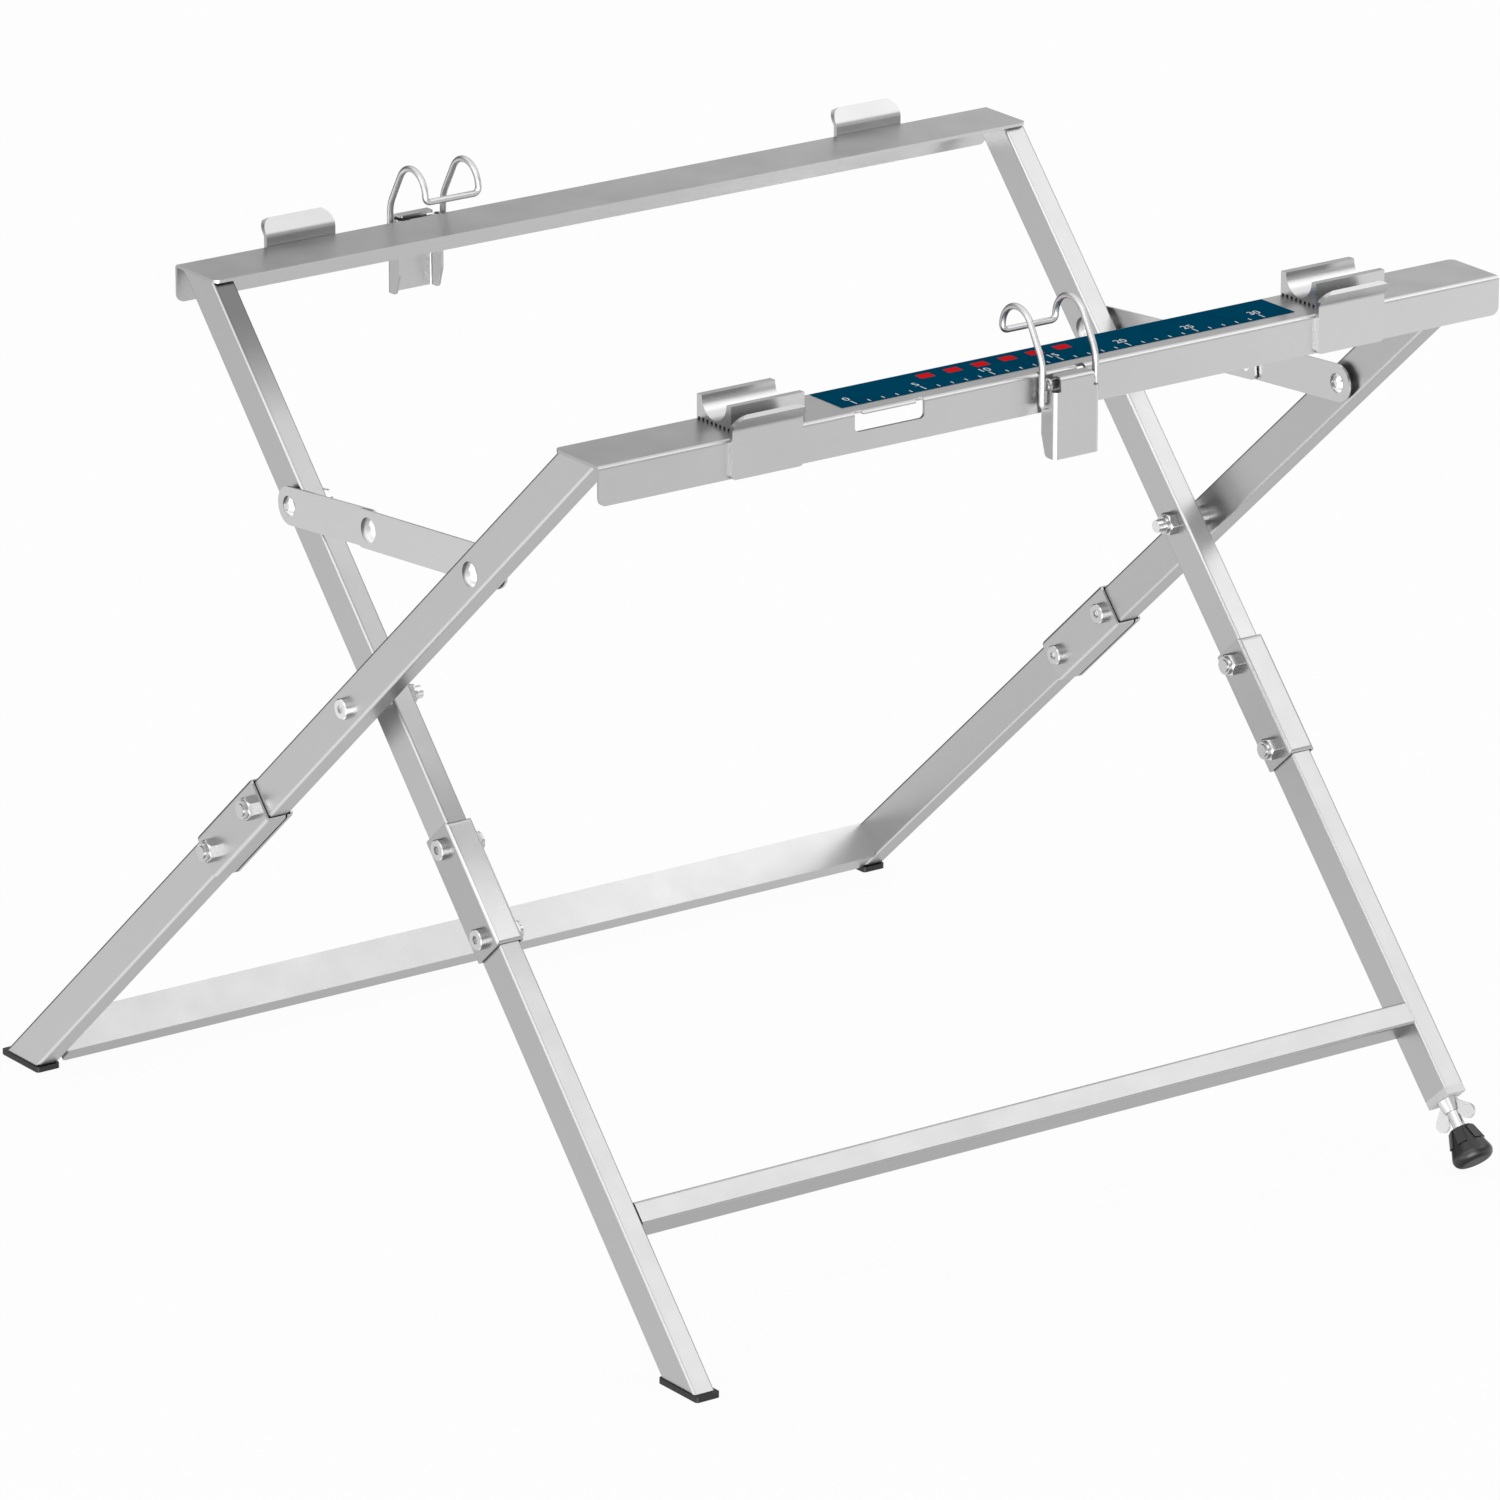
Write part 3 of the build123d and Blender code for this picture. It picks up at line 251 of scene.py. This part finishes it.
# %% [markdown]
# Three soft boxes add what a plain room lacks: a little more light from the front right,
# a lift on the outer sides at the left, and highlights on the plastic and the rubber.

# %% Soft boxes
STAND_MIDDLE = Vector((0, 0, 0.3))
# Each box: its place, its width and height, and its power in watts.
SOFT_BOXES = {
    "box_front_right": ((2.6, -2.6, 3.4), (2.6, 2.6), 14),
    "box_left": ((-3.2, 0.8, 1.6), (2.0, 2.0), 10),
    "box_low_front": ((-0.8, -4.2, 0.9), (3.0, 1.4), 10),
}

for name, (place, size, power) in SOFT_BOXES.items():
    box = bpy.data.lights.new(name, "AREA")
    box.shape = "RECTANGLE"
    box.size, box.size_y = size
    box.energy = power
    lamp = bpy.data.objects.new(name, box)
    lamp.location = place
    aim = STAND_MIDDLE - Vector(place)
    lamp.rotation_euler = aim.to_track_quat("-Z", "Y").to_euler()
    scene.collection.objects.link(lamp)
print("soft boxes:", len(SOFT_BOXES))

# %% [markdown]
# ## Zinc-plated steel
# Cold-rolled sheet has fine lines along the direction in which it was rolled, and the
# plating over it is slightly cloudy. Both are far smaller than the parts, so they are
# noise textures on Object coordinates: stretched noise for the rolling lines, and round
# noise for the clouds. A Mapping node turns the lines to lie along each piece.

# %% Noise for grain and clouds
RELIEF_DEPTH = 0.0002


def new_material(name):
    material = bpy.data.materials.new(name)
    material.use_nodes = True
    tree = material.node_tree
    tree.nodes.clear()
    shader = tree.nodes.new("ShaderNodeBsdfPrincipled")
    output = tree.nodes.new("ShaderNodeOutputMaterial")
    tree.links.new(shader.outputs[0], output.inputs[0])
    return material, tree, shader


def noise(tree, scale, detail=3.0, rough=0.5, stretch=None, turn=(0, 0, 0)):
    """Noise on Object coordinates; stretch is how much finer it is along each axis."""
    where = tree.nodes.new("ShaderNodeTexCoord")
    mapping = tree.nodes.new("ShaderNodeMapping")
    mapping.vector_type = "TEXTURE"
    mapping.inputs["Rotation"].default_value = turn
    if stretch:
        mapping.inputs["Scale"].default_value = [1 / s for s in stretch]
    grain = tree.nodes.new("ShaderNodeTexNoise")
    grain.inputs["Scale"].default_value = scale
    grain.inputs["Detail"].default_value = detail
    grain.inputs["Roughness"].default_value = rough
    tree.links.new(where.outputs["Object"], mapping.inputs["Vector"])
    tree.links.new(mapping.outputs[0], grain.inputs["Vector"])
    return grain.outputs["Fac"]


def place_along(tree, axis, low, high):
    """0 to 1 along one axis of the stand."""
    parts = tree.nodes.new("ShaderNodeSeparateXYZ")
    tree.links.new(tree.nodes.new("ShaderNodeTexCoord").outputs["Object"], parts.inputs[0])
    return ramp(tree, parts.outputs[axis], 0.0, 1.0, low, high)


def plus(tree, value, other):
    """Add a value from another node, or a plain number."""
    node = tree.nodes.new("ShaderNodeMath")
    node.operation = "ADD"
    tree.links.new(value, node.inputs[0])
    if isinstance(other, float):
        node.inputs[1].default_value = other
    else:
        tree.links.new(other, node.inputs[1])
    return node.outputs[0]


def relief(tree, shader, height, strength):
    """Let noise lift and lower the surface a little."""
    bump = tree.nodes.new("ShaderNodeBump")
    bump.inputs["Strength"].default_value = strength
    bump.inputs["Distance"].default_value = RELIEF_DEPTH
    tree.links.new(height, bump.inputs["Height"])
    tree.links.new(bump.outputs[0], shader.inputs["Normal"])


# %% [markdown]
# One function makes every plated finish. Its tone is the grey of the metal, and clouds,
# rolling lines and specks each move that grey by a few hundredths. The clouds also change
# how blurred the reflections are. A long rail shows more of the bright side of the room
# towards its right end, and spread paints that slow change into the finish.

# %% A plated metal
CLOUD_SCALE, LINE_SCALE, SPECK_SCALE = 38, 420, 1500
RAIL_REACH = 0.33  # from the middle to each end of a rail


def plated(name, tone, rough, lines=(1, 1, 1), turn=(0, 0, 0),
           cloud=0.02, grain=0.013, spread=0.0):
    material, tree, shader = new_material(name)
    shader.inputs["Metallic"].default_value = 1.0
    clouds = noise(tree, CLOUD_SCALE, detail=4)
    streaks = noise(tree, LINE_SCALE, detail=3, stretch=lines, turn=turn)
    specks = noise(tree, SPECK_SCALE, detail=2)
    uneven = plus(tree, ramp(tree, clouds, -cloud, cloud), ramp(tree, streaks, -grain, grain))
    uneven = plus(tree, uneven, ramp(tree, specks, -grain / 2, grain / 2))
    shade = tree.nodes.new("ShaderNodeVectorMath")
    shade.operation = "SCALE"
    shade.inputs[0].default_value = (tone, tone, tone)
    tree.links.new(plus(tree, uneven, 1.0), shade.inputs["Scale"])
    colour = shade.outputs[0]
    if spread:
        wide = place_along(tree, "X", -RAIL_REACH, RAIL_REACH)
        colour = times(tree, colour, ramp(tree, wide, 1 - spread, 1 + spread, 0.0, 1.0))
    tree.links.new(colour, shader.inputs["Base Color"])
    tree.links.new(ramp(tree, clouds, rough - 0.03, rough + 0.04), shader.inputs["Roughness"])
    relief(tree, shader, streaks, 0.05)
    return material


def world_up(tree):
    """How far a face looks up: 1 for a level top, -1 for an underside."""
    parts = tree.nodes.new("ShaderNodeSeparateXYZ")
    tree.links.new(tree.nodes.new("ShaderNodeNewGeometry").outputs["Normal"], parts.inputs[0])
    return parts.outputs["Z"]


def dim_top(material, low, high, stops):
    """Shade faces that look up, by height from low to high; stops are (place, light)."""
    tree = material.node_tree
    target = tree.nodes["Principled BSDF"].inputs["Base Color"]
    pick = tree.nodes.new("ShaderNodeMix")
    pick.data_type = "RGBA"
    pick.inputs["A"].default_value = grey(1)
    tree.links.new(ramp(tree, world_up(tree), 0.0, 1.0, 0.3, 0.6), pick.inputs["Factor"])
    strip = light_strip(tree, place_along(tree, "Z", low, high), stops)
    tree.links.new(strip, pick.inputs["B"])
    tree.links.new(times(tree, target.links[0].from_socket, pick.outputs["Result"]), target)


def dress(material, *names):
    """Give CAD nodes a finish: every material slot of each node gets it."""
    for name in names:
        mesh = nodes[name].data
        if not mesh.materials:
            mesh.materials.append(material)
        for index in range(len(mesh.materials)):
            mesh.materials[index] = material


# %% [markdown]
# ## Legs and sleeves
# The legs and sleeves don't all show the same grey. Part of that is the plating, which
# differs a little from piece to piece, and part is light that a plain room doesn't give, so
# each leg and each sleeve has a tone of its own. Their rolling lines lie along the leg,
# which leans. The left leg of the inner frame runs up under the front rail and is shaded
# there, and the sleeve below it is lightest near its middle and fades towards its top, so
# those two also get a shade that changes with height.

# %% Legs and sleeves
TILT_A, TILT_B = math.radians(41.8), math.radians(47.95)
ALONG_Y = (6, 0.25, 6)
ALONG_X = (0.25, 6, 6)
LEG_TURN = {"a": (-TILT_A, 0, 0), "b": (TILT_B, 0, 0)}
LEG_TONE = {"a_left": 0.67, "a_right": 0.595, "b_left": 0.56, "b_right": 0.55}
SLEEVE_TONE = {"a_left": 0.64, "a_right": 0.61, "b_left": 0.53, "b_right": 0.56}
UPPER_LIFT = {"a": 1.0, "b": 1.12}  # an upper leg against the lower leg below it
# The lowest and highest point of the shade, and its light at places between them.
LEG_SHADE = (0.27, 0.54, [
    (0.0, 0.68), (0.45, 0.67), (0.66, 0.78), (0.8, 0.76), (0.94, 0.36), (1.0, 0.29),
])
SLEEVE_SHADE = (0.22, 0.29, [(0.0, 1.3), (0.4, 1.42), (0.6, 1.35), (1.0, 1.02)])

for leg in LEG_TONE:
    frame_name, side = leg.split("_")
    turn = LEG_TURN[frame_name]
    upper_tone = LEG_TONE[leg] * UPPER_LIFT[frame_name]
    upper = plated(f"zinc_upper_{leg}", upper_tone, 0.32, ALONG_Y, turn)
    lower = plated(f"zinc_lower_{leg}", LEG_TONE[leg], 0.32, ALONG_Y, turn)
    sleeve = plated(f"zinc_sleeve_{leg}", SLEEVE_TONE[leg], 0.3, ALONG_Y, turn)
    if leg == "b_left":
        dim_top(upper, *LEG_SHADE)
        dim_top(sleeve, *SLEEVE_SHADE)
    dress(upper, f"leg_{frame_name}_upper_{side}")
    dress(lower, f"leg_{frame_name}_lower_{side}")
    dress(sleeve, f"sleeve_{leg}")
print("legs:", len(LEG_TONE))

# %% [markdown]
# ## Rails, latches, braces and bolts
# Rails and latches are the same plated sheet with the lines along the rails. Bolts, pins
# and rivets have a bright, smooth plating, and the large nuts a duller one. The cradles
# are extruded aluminium with stronger lines, and the bails are drawn wire.

# %% Rails, latches, braces and bolts
# The two crossbars, and the left and right stops and links, differ in tone. This is partly plating
# that differs a little from piece to piece, and partly painted light and shade for the light that
# falls differently on each piece.
STOP_TONE = {"left": 0.6, "right": 0.68}
REAR_STOP_TONE = {"left": 0.56, "right": 0.625}
LINK_TONE = {"left": 0.78, "right": 0.72}
zinc_rail = plated("zinc_rail", 0.635, 0.32, ALONG_X, spread=0.09)
zinc_crossbar = plated("zinc_crossbar", 0.545, 0.32, ALONG_X)
zinc_angle = plated("zinc_angle", 0.63, 0.32, ALONG_X, spread=0.09)
zinc_lever = plated("zinc_lever", 0.61, 0.3, ALONG_X)
zinc_bright = plated("zinc_bright", 0.9, 0.2, cloud=0.015, grain=0.015)
zinc_nut = plated("zinc_nut", 0.7, 0.24, cloud=0.03, grain=0.02)
wire = plated("drawn_wire", 0.68, 0.36, cloud=0.015, grain=0.015)
alloy = plated("extruded_aluminium", 0.68, 0.28, ALONG_X, cloud=0.02, grain=0.03)

for side in ("left", "right"):
    stop_zinc = plated(f"zinc_stop_{side}", STOP_TONE[side], 0.3, ALONG_X)
    rear_stop_zinc = plated(f"zinc_rear_stop_{side}", REAR_STOP_TONE[side], 0.3, ALONG_X)
    link_zinc = plated(f"zinc_link_{side}", LINK_TONE[side], 0.3, ALONG_Y)
    dress(stop_zinc, f"front_stop_{side}")
    dress(rear_stop_zinc, f"rear_stop_{side}")
    dress(link_zinc, f"brace_short_{side}", f"brace_long_{side}")
    dress(zinc_bright, f"brace_bolt_{side}", f"brace_nut_{side}",
          f"brace_rivets_{side}", f"knuckle_tail_{side}")
    dress(alloy, f"cradle_{side}")
for rail in ("front", "rear"):
    dress(zinc_lever, f"latch_base_{rail}", f"latch_lever_{rail}")
    dress(wire, f"latch_bail_{rail}")
    dress(zinc_bright, f"latch_pin_{rail}")
dress(zinc_rail, "front_rail", "rear_rail")
dress(zinc_crossbar, "front_crossbar")
dress(zinc_angle, "rear_crossbar")
dress(zinc_bright, "pivot_bolts", "cradle_screws")
dress(zinc_nut, "sleeve_bolts_a", "sleeve_bolts_b", "sleeve_nuts_a", "sleeve_nuts_b",
      "pivot_spacers", "pivot_nuts", "foot_rod", "wing_nut")
print("materials so far:", len(bpy.data.materials))

# %% [markdown]
# ## Plastic, rubber and film
# The caps are moulded plastic with the fine texture of a spark-eroded mould. The rubber
# foot is glossier, with a soft bloom. The label is a printed film: smooth, dark blue, and
# only slightly uneven.

# %% Plastic, rubber and film
HAZE_SCALE = 60


def moulded(name, colour, rough, scale, bump_strength, spread=0.06, gloss=0.5):
    material, tree, shader = new_material(name)
    shader.inputs["Specular IOR Level"].default_value = gloss
    grain = noise(tree, scale, detail=2)
    haze = noise(tree, HAZE_SCALE, detail=3)
    blend = tree.nodes.new("ShaderNodeMix")
    blend.data_type = "RGBA"
    blend.inputs["A"].default_value = (*[c * 0.85 for c in colour], 1)
    blend.inputs["B"].default_value = (*[min(1, c * 1.2) for c in colour], 1)
    tree.links.new(haze, blend.inputs["Factor"])
    tree.links.new(blend.outputs["Result"], shader.inputs["Base Color"])
    tree.links.new(ramp(tree, haze, rough - spread, rough + spread), shader.inputs["Roughness"])
    relief(tree, shader, grain, bump_strength)
    return material


def scuff_underside(material):
    """Painted shade: faces that look down lose most of their gloss, so the underside shows little
    reflection; the rest keeps most of it.
    """
    tree = material.node_tree
    gloss = ramp(tree, world_up(tree), 0.06, 0.8, -0.75, 0.1)
    tree.links.new(gloss, tree.nodes["Principled BSDF"].inputs["Specular IOR Level"])


plastic = moulded("black_plastic", (0.012, 0.012, 0.013), 0.42, 2200, 0.25)
white_plastic = moulded("white_plastic", (0.84, 0.84, 0.84), 0.4, 2200, 0.2)
rubber = moulded("black_rubber", (0.006, 0.006, 0.007), 0.3, 1600, 0.1, gloss=0.3)
film = moulded("blue_film", (0.0, 0.06, 0.12), 0.45, 900, 0.02, gloss=0.0)
# Painted shade on the rubber foot: its underside is made nearly matt.
scuff_underside(rubber)
dress(plastic, "foot_caps_rear", "foot_cap_front_left", "brace_spacer_left", "brace_spacer_right")
dress(white_plastic, "leg_plug")
dress(rubber, "rubber_foot")
dress(film, "label")
print("materials so far:", len(bpy.data.materials))

# %% [markdown]
# ## The scale on the label
# The label is printed with a plain centimetre scale: a tick every centimetre, a number every
# five, and a row of red blocks that are one centimetre long. Printing is raised by less than
# a tenth of a millimetre, so each mark is a thin solid that stands on the film. The ticks
# and blocks are cubes stretched by their own matrix, and the numbers are text made into a
# mesh, because text keeps its size when it is drawn and a mesh keeps its place when it is
# moved.

# %% Ticks and blocks
PRINT_T = 0.00006
CENTIMETRE = 0.01
SCALE_MARKS = 31      # from 0 to 30
LONG_EVERY = 5        # a long tick and a number
SCALE_START = 0.0115  # from the film's left end to the first tick
# These are measured from the film's front edge.
TICK_START, TICK_END, LONG_TICK_END = 0.0012, 0.0045, 0.0075
BLOCK_START, BLOCK_END = 0.019, 0.0265
TICK_HALF_W = 0.0004
BLOCK_MARKS = range(6, 18, 2)

label_low, label_high = (Vector(corner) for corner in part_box("label"))
film_top = label_high.z


def mark_x(mark):
    """Where a mark of the scale stands along the rail."""
    return label_low.x + SCALE_START + mark * CENTIMETRE


def printed(name, colour, rough):
    material, tree, shader = new_material(name)
    shader.inputs["Base Color"].default_value = (*colour, 1)
    shader.inputs["Specular IOR Level"].default_value = 0.0
    dust = ramp(tree, noise(tree, 700, detail=2), rough - 0.05, rough + 0.08)
    tree.links.new(dust, shader.inputs["Roughness"])
    return material


def add_block(bm, x0, x1, y0, y1):
    """One flat block of print between two corners on the film."""
    middle = Vector(((x0 + x1) / 2, (y0 + y1) / 2, film_top + PRINT_T / 2))
    size = Matrix.Diagonal((x1 - x0, y1 - y0, PRINT_T, 1))
    bmesh.ops.create_cube(bm, size=1, matrix=Matrix.Translation(middle) @ size)


def print_piece(name, bm, material):
    mesh = bpy.data.meshes.new(name)
    bm.to_mesh(mesh)
    bm.free()
    mesh.materials.append(material)
    piece = bpy.data.objects.new(name, mesh)
    scene.collection.objects.link(piece)
    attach(piece, "frame_a")


white_ink = printed("white_ink", (0.82, 0.83, 0.84), 0.45)
red_ink = printed("red_ink", (0.72, 0.012, 0.015), 0.45)
ticks = bmesh.new()
for mark in range(SCALE_MARKS):
    x = mark_x(mark)
    end = TICK_END if mark % LONG_EVERY else LONG_TICK_END
    add_block(ticks, x - TICK_HALF_W, x + TICK_HALF_W, label_low.y + TICK_START, label_low.y + end)
print_piece("scale_ticks", ticks, white_ink)
blocks = bmesh.new()
for mark in BLOCK_MARKS:
    x = mark_x(mark)
    add_block(blocks, x, x + CENTIMETRE, label_low.y + BLOCK_START, label_low.y + BLOCK_END)
print_piece("scale_blocks", blocks, red_ink)
print("scale marks:", SCALE_MARKS, "blocks:", len(BLOCK_MARKS))

# %% Numbers
NUMBER_SIZE = 0.0085
NUMBER_LINE = 0.0092  # from the film's front edge to the foot of the numbers

numbers = bmesh.new()
for mark in range(0, SCALE_MARKS, LONG_EVERY):
    text = bpy.data.curves.new("number", "FONT")
    text.body = str(mark)
    text.size = NUMBER_SIZE
    text.align_x = "CENTER"
    text.extrude = PRINT_T / 2
    holder = bpy.data.objects.new("number", text)
    scene.collection.objects.link(holder)
    drawn = holder.evaluated_get(bpy.context.evaluated_depsgraph_get())
    digits = bpy.data.meshes.new_from_object(drawn)
    bpy.data.objects.remove(holder)
    place = (mark_x(mark), label_low.y + NUMBER_LINE, film_top + PRINT_T / 2)
    digits.transform(Matrix.Translation(place))
    numbers.from_mesh(digits)
    bpy.data.meshes.remove(digits)
bmesh.ops.remove_doubles(numbers, verts=numbers.verts, dist=1e-6)
bmesh.ops.recalc_face_normals(numbers, faces=numbers.faces)
print("faces in the numbers:", len(numbers.faces))
print_piece("scale_numbers", numbers, white_ink)
